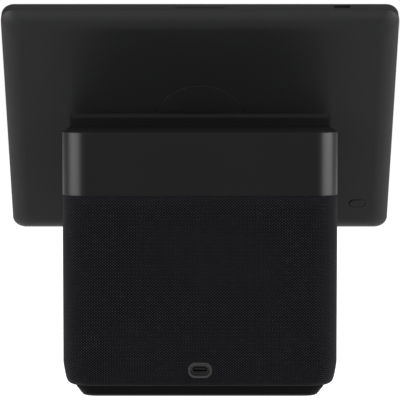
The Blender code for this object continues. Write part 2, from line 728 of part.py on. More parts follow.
# The hinge.
def make_hinge():
    neck_end = plate_front - GAP
    neck = piece(
        "hinge_neck", block((NECK_WIDTH, neck_end, NECK_HEIGHT), 0.001, 1, 2), "black_plastic",
        (0, neck_end / 2, 0), parent=hinge_side,
    )
    join(neck, rod(NECK_HEIGHT / 2, NECK_WIDTH, 0), parent=hinge_side)
    bore = SHAFT_RADIUS + GAP
    cut(neck, rod(bore, NECK_WIDTH + 0.01, 0, 20), parent=hinge_side)
    cable_start, cable_bore = 0.005, CABLE_RADIUS + 0.0005
    bore_length = 0.02
    cut(neck, rod(cable_bore, bore_length, 1, 16), (0, cable_start + bore_length / 2, 0), parent=hinge_side)

    piece(
        "hinge_shaft", rod(SHAFT_RADIUS, 2 * shaft_end, 0, 20), "steel",
        parent=hinge_side,
    )
    for name, side in (("left", 1), ("right", -1)):
        washer = piece(
            f"friction_washer_{name}", rod(EYE_RADIUS, WASHER_THICKNESS, 0), "steel",
            (side * (washer_start + WASHER_THICKNESS / 2), 0, 0), parent=hinge_side,
        )
        cut(washer, rod(bore, 0.01, 0, 20), washer.location, parent=hinge_side)
        nut = piece(
            f"hinge_nut_{name}", rod(NUT_RADIUS, NUT_WIDTH, 0, 6), "steel",
            (side * (nut_start + NUT_WIDTH / 2), 0, 0), parent=hinge_side,
        )
        cut(nut, rod(bore, 0.01, 0, 20), nut.location, parent=hinge_side)
        make_bracket(name, side, bore)


def make_bracket(name, side, bore):
    bracket_front = back_plate_back + GAP
    bracket_back = bracket_front + BRACKET_THICKNESS
    foot_start = eye_start + 0.0005
    foot = block((BRACKET_LENGTH, BRACKET_THICKNESS, BRACKET_HEIGHT), 0.002, 1, 2)
    foot_middle = (side * (foot_start + BRACKET_LENGTH / 2), (bracket_front + bracket_back) / 2, 0)
    bracket = piece(f"hinge_bracket_{name}", foot, "steel", foot_middle, parent=screen)
    eye_middle = (side * (eye_start + EYE_WIDTH / 2), 0, 0)
    join(bracket, rod(EYE_RADIUS, EYE_WIDTH, 0), eye_middle, parent=screen)
    cut(bracket, rod(bore, EYE_WIDTH + 0.004, 0, 20), eye_middle, parent=screen)

    head, shank, length = 0.0018, 0.001, 0.0020
    spot = Vector((side * (foot_start + BRACKET_LENGTH - 0.006), bracket_back, 0.004))
    for holed in (bracket, bpy.data.objects["back_plate"]):
        cut(holed, rod(shank + GAP, 2 * length, 1, 12), spot, parent=screen)
    screw(
        f"bracket_screw_{name}", head, shank, length, spot + Vector((0, GAP, 0)), turn=(-90, 0, 0),
        parent=screen,
    )


# The screen.
def screen_slab(width, height, front, rear, corner, segments=5, rim=None):
    bm = block((width, rear - front, height), corner, 1, segments, rim)
    return shifted(bm, (0, (front + rear) / 2, screen_middle))


def pillow(inset, front, straight_end, rear, reach, steps=4):
    """A slab whose edge is upright to straight_end, then rounds over by reach to the flat rear."""
    size = (SCREEN_WIDTH - 2 * inset, straight_end - front, SCREEN_HEIGHT - 2 * inset)
    bm = block(size, SCREEN_CORNER - inset, 1, 5)
    depth = rear - straight_end
    radius = (reach ** 2 + depth ** 2) / (2 * depth)
    turns = [math.asin(reach / radius) * (1 - i / steps) for i in range(steps + 1)]
    rounding = [
        (reach - radius * math.sin(after), radius * (math.cos(after) - math.cos(before)))
        for before, after in zip(turns, turns[1:])
    ]
    stepped(bm, 1, 1, size, rounding)
    return shifted(bm, (0, (front + straight_end) / 2, screen_middle))


def make_screen():
    shell_edge = shell_front + SHELL_STRAIGHT
    shell = piece(
        "rear_shell", pillow(0, shell_front, shell_edge, back, ROUND_REACH), "screen_plastic", parent=screen
    )
    reach = 0.01
    space_edge, space_back = shell_edge - SHELL_WALL / 2, back - SHELL_WALL
    cut(shell, pillow(SHELL_WALL, shell_front - reach, space_edge, space_back, ROUND_REACH), parent=screen)
    cut(shell, rod(disc_radius + GAP, reach, 1, 40), (0, back, 0), parent=screen)
    gap = 2 * CONTROL_CLEARANCE
    button_hole = stadium(BUTTON_LENGTH + gap, BUTTON_TALL + gap, reach)
    cut(shell, button_hole, (button_across, back, button_up), parent=screen)

    frame_mesh = screen_slab(SCREEN_WIDTH, SCREEN_HEIGHT, frame_front, frame_back, SCREEN_CORNER)
    frame = piece("screen_frame", frame_mesh, "screen_plastic", parent=screen)
    rim, wall = 2 * FRAME_RIM, 2 * SHELL_WALL
    recess_corner, wall_corner = SCREEN_CORNER - FRAME_RIM, SCREEN_CORNER - SHELL_WALL
    cut(frame, screen_slab(
        SCREEN_WIDTH - rim, SCREEN_HEIGHT - rim, frame_front - reach, ledge_front, recess_corner
    ), parent=screen)
    cut(frame, screen_slab(
        SCREEN_WIDTH - wall, SCREEN_HEIGHT - wall, ledge_back, frame_back + reach, wall_corner
    ), parent=screen)
    window = screen_slab(
        panel_width + 2 * GAP, panel_height + 2 * GAP, frame_front - reach, frame_back + reach, 0.002, 2
    )
    cut(frame, window, parent=screen)

    glass_mesh = screen_slab(
        SCREEN_WIDTH - rim - 2 * GAP, SCREEN_HEIGHT - rim - 2 * GAP, glass_front, glass_back,
        recess_corner - GAP,
    )
    piece("cover_glass", glass_mesh, "glass", parent=screen)
    panel_mesh = screen_slab(panel_width, panel_height, ledge_front, panel_back, 0.0015, 2)
    piece("display_panel", panel_mesh, "panel", parent=screen)
    side, end = BACK_PLATE_OVERLAP
    plate_mesh = screen_slab(
        panel_width + 2 * side, panel_height + 2 * end, back_plate_front, back_plate_back, 0.004, 2
    )
    piece("back_plate", plate_mesh, "aluminium", parent=screen)
    make_disc()
    return frame


def make_disc():
    under = back - SHELL_WALL
    lap_back = under - GAP
    lap_front = lap_back - DISC_FLANGE
    outer, inner = disc_radius + DISC_LAP + GAP, disc_radius - DISC_LAP + GAP
    profile = [(0, back), (disc_radius, back), (disc_radius, lap_back), (outer, lap_back)]
    profile += [(outer, lap_front), (inner, lap_front), (inner, under), (0, under)]
    disc = turned(
        "hinge_disc", profile, "screen_plastic", (0, 0, 0), (-90, 0, 0), screen, steps=40, closed=False
    )
    width = NECK_WIDTH + 2 * SLOT_SIDE_CLEARANCE
    height = NECK_HEIGHT + 2 * SLOT_TILT_CLEARANCE
    cut(disc, block((width, 0.02, height), SLOT_CORNER, 1, 4), (0, back, 0), parent=screen)


def make_screen_electronics():
    board_low, board_high = MAIN_BOARD_ABOVE_AXIS, screen_top - MAIN_BOARD_BELOW_TOP
    board_thickness = 0.0012
    board_middle = (board_low + board_high) / 2
    board = block((MAIN_BOARD_WIDTH, board_thickness, board_high - board_low), 0.002, 1, 2)
    board_place = (0, MAIN_BOARD_BACK - board_thickness / 2, board_middle)
    piece("main_board", board, "circuit", board_place, parent=screen)
    can = piece(
        "shield_can", opened(block(SHIELD_SIZE, 0.002, 1, 2), 1, -1), "steel",
        (SHIELD_PLACE, MAIN_BOARD_BACK + GAP + SHIELD_SIZE[1] / 2, board_middle), parent=screen,
    )
    walled(can, 0.0004)
    piece(
        "volume_board", block((0.040, 0.0026, THIN_BOARD)), "circuit",
        (0, control_line + 0.0006, screen_top - 0.0068), parent=screen,
    )
    piece(
        "microphone_board", block((0.040, THIN_BOARD, 0.006), 0.001, 1, 2), "circuit",
        (0.070, control_line, screen_top - 0.007), parent=screen,
    )
    piece(
        "button_board", block((BUTTON_LENGTH + 0.0058, THIN_BOARD, BUTTON_TALL + 0.0045), 0.001, 1, 2),
        "circuit", (button_across, MAIN_BOARD_BACK - THIN_BOARD / 2, button_up), parent=screen,
    )


# Controls on the screen's edge and back.
def make_rocker(frame):
    pivot = Vector((0, control_line, screen_top - ROCKER_PIVOT))
    key = stadium(ROCKER_LENGTH, ROCKER_WIDTH, ROCKER_DEPTH, 2)
    key = shifted(key, (0, 0, ROCKER_PIVOT + ROCKER_PROUD - ROCKER_DEPTH / 2))
    rocker = piece("volume_rocker", key, "screen_plastic", pivot, parent=screen)
    join(rocker, block((0.003, 0.0016, 0.0022)), pivot + Vector((0, 0, 0.0001)), parent=screen)
    gap, depth = 2 * CONTROL_CLEARANCE, 0.0064
    pocket = stadium(ROCKER_LENGTH + gap, ROCKER_WIDTH + gap, depth, 2)
    cut(frame, pocket, (0, control_line, screen_top - depth / 2 + 0.001), parent=screen)


def make_slider(frame):
    recess_middle = slider_place + SLIDER_TRAVEL / 2
    recess_floor = screen_top - RECESS_DEPTH
    reach = 0.01
    recess = stadium(SLIDER_LENGTH + SLIDER_TRAVEL + 2 * GAP, SLIDER_WIDTH + 2 * GAP, reach, 2)
    cut(frame, recess, (recess_middle, control_line, recess_floor + reach / 2), parent=screen)
    slit = block((SLIDER_TRAVEL + STEM_WIDTH + 2 * GAP, STEM_DEPTH + 2 * GAP, SLIT_DEPTH))
    slit_middle = screen_top - SLIT_DEPTH / 2
    cut(frame, slit, (recess_middle, control_line, slit_middle), parent=screen)

    spot = Vector((slider_place, control_line, screen_top))
    knob_height = RECESS_DEPTH - GAP / 2
    knob_top = 0.00015
    knob = shifted(stadium(SLIDER_LENGTH, SLIDER_WIDTH, knob_height, 2), (0, 0, knob_top - knob_height / 2))
    slider = piece("shutter_slider", knob, "screen_plastic", spot, parent=screen)
    blade_line = ledge_back + GAP + BLADE_SIZE[1] / 2 - control_line
    blade_top = -SHELL_WALL - BLADE_DROP
    stem_end = blade_top - STEM_LAP
    stem_start = knob_top - knob_height + STEM_LAP
    stem = block((STEM_WIDTH, STEM_DEPTH, stem_start - stem_end))
    join(slider, stem, spot + Vector((0, 0, (stem_start + stem_end) / 2)), parent=screen)
    arm_end = STEM_DEPTH / 4
    arm = block((STEM_WIDTH - GAP, arm_end - blade_line, STEM_LAP))
    join(slider, arm, spot + Vector((0, (arm_end + blade_line) / 2, blade_top - STEM_LAP / 3)), parent=screen)
    blade_middle = blade_top - BLADE_SIZE[2] / 2
    join(slider, block(BLADE_SIZE, 0.001, 1, 2), spot + Vector((0, blade_line, blade_middle)), parent=screen)


def make_camera(frame):
    across, up = slider_place + SLIDER_TRAVEL, screen_top - CAMERA_BELOW_TOP
    cut(frame, rod(CAMERA_RADIUS + 0.0004, 0.004, 1, 16), (across, ledge_front, up), parent=screen)
    # the module stands behind the blade's path and under the stem's
    module_front = ledge_back + BLADE_SIZE[1] + 2 * GAP
    half = CAMERA_BELOW_TOP - SHELL_WALL - BLADE_DROP - STEM_LAP - GAP
    module = block((2 * half, CAMERA_DEPTH, 2 * half), 0.001, 1, 2)
    module_place = (across, module_front + CAMERA_DEPTH / 2, up)
    piece("camera_module", module, "inner_plastic", module_place, parent=screen)
    lens_place = (across, ledge_front + 0.0001 + LENS_THICKNESS / 2, up)
    piece("camera_lens", rod(CAMERA_RADIUS, LENS_THICKNESS, 1, 20), "glass", lens_place, parent=screen)


def make_button():
    front = back + BUTTON_PROUD
    flange_back = back - SHELL_WALL - BUTTON_TRAVEL
    flange_front = flange_back - BUTTON_FLANGE
    height = front - flange_front
    cap = shifted(stadium(BUTTON_LENGTH, BUTTON_TALL, height), (0, -height / 2, 0))
    button = piece("rear_button", cap, "screen_plastic", (button_across, front, button_up), parent=screen)
    lap = 0.0021
    flange = stadium(BUTTON_LENGTH + lap, BUTTON_TALL + lap, BUTTON_FLANGE)
    join(button, flange, (button_across, (flange_back + flange_front) / 2, button_up), parent=screen)


make_foot()
make_sleeves()
make_cap()
cabinet_body = make_cabinet()
make_woofer(cabinet_body)
make_tweeters(cabinet_body)
make_radiators(cabinet_body)
make_base_electronics()
make_cable()
frame_body = make_screen()
make_hinge()
make_screen_electronics()
make_rocker(frame_body)
make_slider(frame_body)
make_camera(frame_body)
make_button()
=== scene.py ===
import json
import math

import bmesh
import bpy
from mathutils import Matrix, Vector


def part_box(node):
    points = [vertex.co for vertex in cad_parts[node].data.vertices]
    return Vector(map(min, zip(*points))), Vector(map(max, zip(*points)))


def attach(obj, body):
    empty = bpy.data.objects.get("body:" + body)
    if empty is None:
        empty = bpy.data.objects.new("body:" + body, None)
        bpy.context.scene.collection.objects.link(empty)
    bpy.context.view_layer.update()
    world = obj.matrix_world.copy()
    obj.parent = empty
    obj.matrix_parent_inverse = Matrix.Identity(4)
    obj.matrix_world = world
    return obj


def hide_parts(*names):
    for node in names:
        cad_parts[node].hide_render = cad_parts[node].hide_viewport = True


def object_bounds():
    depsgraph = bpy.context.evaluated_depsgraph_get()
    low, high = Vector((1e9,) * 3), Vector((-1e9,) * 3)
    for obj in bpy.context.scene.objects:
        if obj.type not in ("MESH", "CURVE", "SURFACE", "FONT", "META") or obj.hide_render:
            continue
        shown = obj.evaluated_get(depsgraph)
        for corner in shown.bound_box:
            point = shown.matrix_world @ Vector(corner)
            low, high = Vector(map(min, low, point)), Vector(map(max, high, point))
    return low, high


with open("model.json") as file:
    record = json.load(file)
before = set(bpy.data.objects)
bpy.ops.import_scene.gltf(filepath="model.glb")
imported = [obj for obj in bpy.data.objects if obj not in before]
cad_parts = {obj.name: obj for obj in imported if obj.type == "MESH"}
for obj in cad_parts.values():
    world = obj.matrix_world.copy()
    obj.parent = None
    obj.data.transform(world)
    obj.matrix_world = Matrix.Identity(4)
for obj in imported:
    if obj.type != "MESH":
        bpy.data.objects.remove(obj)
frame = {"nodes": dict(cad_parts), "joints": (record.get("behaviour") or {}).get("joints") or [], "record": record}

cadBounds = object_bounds()
nodes = frame["nodes"]
joints = {joint["name"]: joint for joint in frame["joints"]}

# the screen's own frame: across, out of its back, and up its slope, from the tilt axis
tiltPoint = Vector(joints["screen_tilt"]["pos_m"])
across = Vector((1, 0, 0))
outOfBack = -Vector(joints["button_press"]["axis"]).normalized()
upSlope = across.cross(outOfBack)
slopeToWorld = Matrix.Translation(tiltPoint) @ Matrix((across, outOfBack, upSlope)).transposed().to_4x4()
worldToSlope = slopeToWorld.inverted()


def slopePoints(node):
    return [worldToSlope @ vert.co for vert in nodes[node].data.vertices]


def cornersOf(points):
    low = Vector([min(point[i] for point in points) for i in range(3)])
    high = Vector([max(point[i] for point in points) for i in range(3)])
    return low, high


def slopeBox(node):
    return cornersOf(slopePoints(node))


# Camera, light and floor
studio = dict(
    distance=1.4134, height=0.22145, pitch=4.05, lens=211.3, sensor=36,
    floorSize=3.2, floorBehind=1.25, floorDrop=0.0002,
    floorColour=(0.25, 0.25, 0.25), floorShade=(0.24, 0.24, 0.242), floorPatches=3.0, floorRough=0.9,
    floorGlow=0.95, backdrop=1.0, fill=0.16,
    softboxes=(
        dict(name="leftSoftbox", turn=62, distance=1.2, size=(1.2, 1.3), height=0.50, power=39),
        dict(name="rightSoftbox", turn=-72, distance=1.2, size=(1.2, 1.3), height=0.50, power=43),
        dict(name="rearSoftbox", turn=0, distance=2.4, size=(2.0, 1.2), height=1.00, power=15),
    ),
    topSize=1.6, topPower=6, topPlace=(0, -0.1, 1.7),
)


def addLight(name, power, size, place, aim):
    bpy.ops.object.light_add(type="AREA", location=place)
    light = bpy.context.active_object
    light.name = name
    light.data.energy = power
    light.data.shape = "RECTANGLE"
    light.data.size, light.data.size_y = size
    light.rotation_euler = (Vector(aim) - Vector(place)).to_track_quat("-Z", "Y").to_euler()


def makeStudio():
    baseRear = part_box("fabric_sleeve")[1].y
    place = (0, baseRear + studio["distance"], studio["height"])
    tip = math.radians(90 - studio["pitch"])
    bpy.ops.object.camera_add(location=place, rotation=(tip, 0, math.pi))
    camera = bpy.context.active_object
    camera.data.lens = studio["lens"]
    camera.data.sensor_width = studio["sensor"]
    bpy.context.scene.camera = camera

    middle = Vector((0, 0, cadBounds[1].z / 2))
    for box in studio["softboxes"]:
        turn = math.radians(box["turn"])
        spot = (box["distance"] * math.sin(turn), box["distance"] * math.cos(turn), box["height"])
        addLight(box["name"], box["power"], box["size"], spot, middle)
    topSize = (studio["topSize"], studio["topSize"])
    addLight("topSoftbox", studio["topPower"], topSize, studio["topPlace"], middle)

    place = (0, -studio["floorBehind"], cadBounds[0].z - studio["floorDrop"])
    bpy.ops.mesh.primitive_plane_add(size=studio["floorSize"], location=place)
    floor = bpy.context.active_object
    floor.name = "studioFloor"
    paint = Surface("paleFloor")
    patches = paint.noise(paint.place(), studio["floorPatches"])
    tone = paint.blend(patches, studio["floorColour"], studio["floorShade"])
    glow = {"Emission Color": (1, 1, 1, 1), "Emission Strength": studio["floorGlow"]}
    floor.data.materials.append(paint.shade(tone, studio["floorRough"], **glow))
    makeWorld()
    bpy.context.scene.view_settings.view_transform = "Standard"
    print("studio: camera, four soft lights and a pale floor")


def makeWorld():
    # a white backdrop to look at, and a dimmer one to light by
    world = bpy.data.worlds.new("studioWorld")
    bpy.context.scene.world = world
    world.use_nodes = True
    tree = world.node_tree
    tree.nodes.clear()
    mixer = tree.nodes.new("ShaderNodeMixShader")
    for socket, strength in ((1, studio["fill"]), (2, studio["backdrop"])):
        sky = tree.nodes.new("ShaderNodeBackground")
        sky.inputs["Color"].default_value = (1, 1, 1, 1)
        sky.inputs["Strength"].default_value = strength
        tree.links.new(sky.outputs[0], mixer.inputs[socket])
    path = tree.nodes.new("ShaderNodeLightPath")
    out = tree.nodes.new("ShaderNodeOutputWorld")
    tree.links.new(path.outputs["Is Camera Ray"], mixer.inputs["Fac"])
    tree.links.new(mixer.outputs[0], out.inputs["Surface"])


# Materials
class Wire:
    # one socket of a material, so that shader maths reads as sums and products
    def __init__(self, surface, socket):
        self.surface, self.socket = surface, socket

    def maths(self, operation, *others):
        sockets = {i: value for i, value in enumerate((self, *others))}
        return self.surface.node("ShaderNodeMath", dict(operation=operation), sockets)

    def __add__(self, other):
        return self.maths("ADD", other)

    def __mul__(self, other):
        return self.maths("MULTIPLY", other)

    def __sub__(self, other):
        return self.maths("SUBTRACT", other)

    def __rsub__(self, other):
        return self.surface.node("ShaderNodeMath", dict(operation="SUBTRACT"), {0: other, 1: self})

    def __pow__(self, other):
        return self.maths("POWER", other)

    __radd__, __rmul__ = __add__, __mul__

    def sine(self):
        return self.maths("SINE")

    def size(self):
        return self.maths("ABSOLUTE")

    def larger(self, other):
        return self.maths("MAXIMUM", other)

    def step(self, low, high):  # 0 below low, 1 above high, smooth between
        settings = dict(interpolation_type="SMOOTHSTEP")
        sockets = {"Value": self, "From Min": low, "From Max": high}
        return self.surface.node("ShaderNodeMapRange", settings, sockets)


class Surface:
    # one material and its nodes
    def __init__(self, name):
        self.material = bpy.data.materials.new(name)
        self.material.use_nodes = True
        self.tree = self.material.node_tree
        self.tree.nodes.clear()

    def node(self, kind, settings=None, sockets=None, out=0):
        made = self.tree.nodes.new(kind)
        for key, value in (settings or {}).items():
            setattr(made, key, value)
        for key, value in (sockets or {}).items():
            if isinstance(value, Wire):
                self.tree.links.new(value.socket, made.inputs[key])
            else:
                made.inputs[key].default_value = value
        return Wire(self, made.outputs[out])

    def place(self, turn=None):  # object coordinates, turned into the screen's frame where asked
        spot = self.node("ShaderNodeTexCoord", out="Object")
        if turn is None:
            return spot
        settings = dict(vector_type="POINT")
        return self.node("ShaderNodeMapping", settings, {
            "Vector": spot, "Location": turn.to_translation(), "Rotation": turn.to_euler(),
        })

    def split(self, vector):
        parts = self.node("ShaderNodeSeparateXYZ", None, {"Vector": vector})
        return [Wire(self, socket) for socket in parts.socket.node.outputs]

    def noise(self, vector, scale, detail=2, rough=0.5):
        sockets = {"Vector": vector, "Scale": scale, "Detail": detail, "Roughness": rough}
        return self.node("ShaderNodeTexNoise", None, sockets)

    def blend(self, factor, first, second):
        made = self.tree.nodes.new("ShaderNodeMix")
        made.data_type = "RGBA"
        self.tree.links.new(factor.socket, made.inputs[0])
        for socket, colour in ((made.inputs[6], first), (made.inputs[7], second)):
            if isinstance(colour, Wire):
                self.tree.links.new(colour.socket, socket)
            else:
                socket.default_value = (*colour, 1)
        return Wire(self, made.outputs[2])

    def bump(self, height, strength, distance):
        sockets = {"Height": height, "Strength": strength, "Distance": distance}
        return self.node("ShaderNodeBump", None, sockets)

    def shade(self, colour, roughness, normal=None, **fixed):
        shader = self.tree.nodes.new("ShaderNodeBsdfPrincipled")
        links = {"Base Color": colour, "Roughness": roughness, "Normal": normal}
        for key, value in {**links, **fixed}.items():
            if isinstance(value, Wire):
                self.tree.links.new(value.socket, shader.inputs[key])
            elif value is not None:
                shader.inputs[key].default_value = (*value, 1) if key == "Base Color" else value
        out = self.tree.nodes.new("ShaderNodeOutputMaterial")
        self.tree.links.new(shader.outputs[0], out.inputs["Surface"])
        return self.material


mouldedPlastic = dict(
    capPlastic=dict(dark=(0.0012,) * 3, light=(0.0016,) * 3, rough=(0.34, 0.38), grain=0.04, shine=0.22),
    # the hinge plate's plastic is the cap's plastic painted about five times lighter: painted light for the shade
    # the plate sits in
    platePlastic=dict(dark=(0.0066,) * 3, light=(0.0080,) * 3, rough=(0.50, 0.56), grain=0.04, shine=0.06),
    screenPlastic=dict(dark=(0.0058, 0.0060, 0.0062), light=(0.0074, 0.0076, 0.0080),
                       rough=(0.46, 0.52), grain=0.06, shine=0.16),
    footPlastic=dict(dark=(0.0014,) * 3, light=(0.0020,) * 3, rough=(0.50, 0.60), grain=0.08, shine=0.03),
    bezelPlastic=dict(dark=(0.0050,) * 3, light=(0.0070,) * 3, rough=(0.28, 0.34), grain=0.03, shine=0.40),
    inletMetal=dict(dark=(0.0080,) * 3, light=(0.0120,) * 3, rough=(0.40, 0.50), grain=0.05, shine=0.40),
    innerPlastic=dict(dark=(0.045, 0.045, 0.048), light=(0.060, 0.060, 0.064),
                      rough=(0.55, 0.70), grain=0.10, shine=0.40),
    ferrite=dict(dark=(0.07, 0.07, 0.075), light=(0.10, 0.10, 0.105),
                 rough=(0.45, 0.65), grain=0.20, shine=0.40),
    conePaper=dict(dark=(0.035, 0.035, 0.038), light=(0.055, 0.055, 0.060),
                   rough=(0.80, 0.95), grain=0.35, shine=0.20),
    domeSilk=dict(dark=(0.08, 0.07, 0.06), light=(0.11, 0.10, 0.09),
                  rough=(0.60, 0.75), grain=0.20, shine=0.30),
    rubber=dict(dark=(0.0050,) * 3, light=(0.0070,) * 3, rough=(0.70, 0.85), grain=0.15, shine=0.20),
)


def makeMoulded(name):
    look = mouldedPlastic[name]
    plastic = Surface(name)
    spot = plastic.place()
    cloud = plastic.noise(spot, 18, 3)
    spark = plastic.noise(spot, 2600, 2, 0.6)  # the mould's fine spark texture, about 0.4 mm
    low, high = look["rough"]
    roughness = low + (high - low) * cloud
    relief = plastic.bump(spark, look["grain"], 0.0002)
    tone = plastic.blend(cloud, look["dark"], look["light"])
    return plastic.shade(tone, roughness, relief, **{"Specular IOR Level": look["shine"]})


bareMetal = dict(
    steel=dict(dark=(0.42, 0.43, 0.45), light=(0.60, 0.61, 0.63), rough=(0.25, 0.42)),
    aluminium=dict(dark=(0.62, 0.63, 0.65), light=(0.78, 0.79, 0.80), rough=(0.32, 0.48)),
)


def makeMetal(name):
    look = bareMetal[name]
    metal = Surface(name)
    stretch = metal.node("ShaderNodeMapping", None, {"Vector": metal.place(), "Scale": (40, 900, 900)})
    streak = metal.noise(stretch, 1.0, 3, 0.6)  # brushed along the width
    low, high = look["rough"]
    roughness = low + (high - low) * streak
    relief = metal.bump(streak, 0.1, 0.0001)
    return metal.shade(metal.blend(streak, look["dark"], look["light"]), roughness, relief, Metallic=1.0)


# hollow is painted shade: the near-black colour given to the lower threads and the gaps between threads
cloth = dict(
    pitchAlong=0.00098, pitchUp=0.00082, hollow=(0.0002, 0.0002, 0.0003), crown=(0.0220, 0.0220, 0.0272),
    fleck=(0.0450, 0.0450, 0.0530), threadEdge=(0.28, 0.82), thickYarn=(0.50, 0.72), warpLift=0.4,
    relief=0.00060, rough=0.70, sheen=0.04, sheenRough=0.30, shine=0.03,
)


def makeCloth():
    weave = Surface("speakerCloth")
    spot = weave.node("ShaderNodeUVMap", dict(uv_map="thread"))
    along, up = weave.split(spot)[:2]
    warp = (along * (math.pi / cloth["pitchAlong"])).sine()
    weft = (up * (math.pi / cloth["pitchUp"])).sine()
    over = (warp * weft).step(*cloth["threadEdge"])  # 1 on the thread that lies on top
    threads = weft.size() * over + warp.size() * cloth["warpLift"] * (1 - over)
    stretch = weave.node("ShaderNodeMapping", None, {"Vector": spot, "Scale": (180, 900, 1)})
    slub = weave.noise(stretch, 1.0, 2)  # thick and thin yarn
    patch = weave.noise(spot, 55, 3, 0.6)
    crown = weave.blend(slub.step(*cloth["thickYarn"]), cloth["crown"], cloth["fleck"])
    # painted shade: wherever no thread lies on top, the lower threads and the gaps between them take the
    # near-black hollow colour
    tone = weave.blend(over * (0.75 + 0.5 * patch), cloth["hollow"], crown)
    relief = weave.bump(threads + 0.25 * slub, 0.6, cloth["relief"])
    fuzz = {"Sheen Weight": cloth["sheen"], "Sheen Roughness": cloth["sheenRough"]}
    return weave.shade(tone, cloth["rough"], relief, **fuzz, **{"Specular IOR Level": cloth["shine"]})


glassLook = dict(
    activeHalf=(0.1085, 0.068), border=(0.0016, 0.0016, 0.0018), active=(0.0042, 0.0046, 0.0058),
    borderEdge=0.0004, lensRing=0.0042, ringEdge=(0.0002, 0.0005), pupilEdge=(0.0017, 0.0019),
    lensInk=(0.010, 0.010, 0.012), coat=0.3, coatRough=0.02,
)


def makeGlass(middle, lens):
    # middle of the screen and of the camera's window, in the screen's own frame
    glass = Surface("coverGlass")
    spot = glass.place(worldToSlope)
    x, _, z = glass.split(spot)
    halfWide, halfTall = glassLook["activeHalf"]
    edge = glassLook["borderEdge"]
    inside = 1 - (x - middle.x).size().step(halfWide, halfWide + edge)
    inside = inside * (1 - (z - middle.z).size().step(halfTall, halfTall + edge))
    smear = glass.noise(glass.place(), 9, 4, 0.6)
    away = ((x - lens.x) ** 2 + (z - lens.z) ** 2) ** 0.5
    ring = 1 - (away - glassLook["lensRing"]).size().step(*glassLook["ringEdge"])
    pupil = 1 - away.step(*glassLook["pupilEdge"])
    colour = glass.blend(inside, glassLook["border"], glassLook["active"])
    colour = glass.blend(ring.larger(pupil * 0.7), colour, glassLook["lensInk"])
    polish = {"Coat Weight": glassLook["coat"], "Coat Roughness": glassLook["coatRough"]}
    return glass.shade(colour, 0.03 + 0.05 * smear, **polish)


boardLook = dict(lacquer=(0.010, 0.055, 0.026), copper=(0.016, 0.085, 0.040), trackSize=420)
panelLook = dict(dark=(0.010, 0.010, 0.014), light=(0.018, 0.018, 0.024))


def makeBoard():
    board = Surface("circuitBoard")
    spot = board.place()
    sockets = {"Vector": spot, "Scale": boardLook["trackSize"]}
    patch = board.node("ShaderNodeTexVoronoi", dict(feature="F1"), sockets)
    track = patch.step(0.35, 0.45)
    colour = board.blend(track, boardLook["lacquer"], boardLook["copper"])
    return board.shade(colour, 0.35 + 0.2 * track, board.bump(track, 0.2, 0.0001))


def makeDarkPanel():
    panel = Surface("darkPanel")
    spot = panel.place()
    haze = panel.noise(spot, 30, 2)
    return panel.shade(panel.blend(haze, panelLook["dark"], panelLook["light"]), 0.15 + 0.1 * haze)


# Modelling steps
clearance = 0.0003  # between pieces that touch
cutterReach = 0.01  # that a cutter passes through what it cuts


def startPiece(name, low, high):
    bpy.ops.object.select_all(action="DESELECT")
    bpy.ops.mesh.primitive_cube_add(size=1, location=(low + high) / 2, scale=high - low)
    piece = bpy.context.active_object
    piece.name = piece.data.name = name
    bpy.ops.object.transform_apply(location=True, rotation=True, scale=True)
    return piece


def choose(kind, test):
    bpy.ops.mesh.select_mode(type=kind)
    bpy.ops.mesh.select_all(action="DESELECT")
    form = bmesh.from_edit_mesh(bpy.context.edit_object.data)
    for part in form.edges if kind == "EDGE" else form.faces:
        part.select_set(test(part))
    bmesh.update_edit_mesh(bpy.context.edit_object.data)


def runsAlong(axis):
    def test(edge):
        step = edge.verts[1].co - edge.verts[0].co
        return abs(step[axis]) > 0.999 * step.length
    return test


def allAt(axis, level, slack=1e-5):
    return lambda part: all(abs(vert.co[axis] - level) < slack for vert in part.verts)


def roundBlock(name, low, high, axis, corner, steps=12, rims=()):
    # a box with the edges along one axis rounded; each rim (level, radius, steps) rounds one end
    piece = startPiece(name, low, high)
    bpy.ops.object.mode_set(mode="EDIT")
    choose("EDGE", runsAlong(axis))
    bpy.ops.mesh.bevel(offset=corner, segments=steps, affect="EDGES")
    for level, radius, count in rims:
        choose("EDGE", allAt(axis, level))
        bpy.ops.mesh.bevel(offset=radius, segments=count, affect="EDGES")
    bpy.ops.object.mode_set(mode="OBJECT")
    return piece


def drawEnd(piece, axis, level, profile):
    # pulls one end out along its axis in steps; each step is (inset from the first outline, distance)
    bpy.ops.object.mode_set(mode="EDIT")
    choose("FACE", allAt(axis, level))
    spots = [vert.co for vert in bmesh.from_edit_mesh(piece.data).verts if vert.select]
    sides = [max(spot[i] for spot in spots) - min(spot[i] for spot in spots) for i in range(3)]
    last = 0
    for inset, distance in profile:
        pull = [0, 0, 0]
        pull[axis] = distance
        scale = [1 if i == axis else (sides[i] - 2 * inset) / (sides[i] - 2 * last) for i in range(3)]
        bpy.ops.mesh.extrude_region_move(TRANSFORM_OT_translate=dict(value=pull))
        bpy.ops.transform.resize(value=scale)
        last = inset
    bpy.ops.object.mode_set(mode="OBJECT")


def pill(name, low, high, axis, steps=12, rims=()):
    short = min((high - low)[i] for i in range(3) if i != axis)
    return roundBlock(name, low, high, axis, short / 2 * 0.998, steps, rims)


def modify(piece, kind, **settings):
    bpy.context.view_layer.objects.active = piece
    step = piece.modifiers.new(kind.lower(), kind)
    for key, value in settings.items():
        setattr(step, key, value)
    bpy.ops.object.modifier_apply(modifier=step.name)


def carve(piece, tool, operation="DIFFERENCE"):
    modify(piece, "BOOLEAN", object=tool, operation=operation, solver="EXACT")
    bpy.data.objects.remove(tool)


def openEnd(piece, axis, level):
    bpy.context.view_layer.objects.active = piece
    bpy.ops.object.mode_set(mode="EDIT")
    choose("FACE", allAt(axis, level))
    bpy.ops.mesh.delete(type="FACE")
    bpy.ops.object.mode_set(mode="OBJECT")


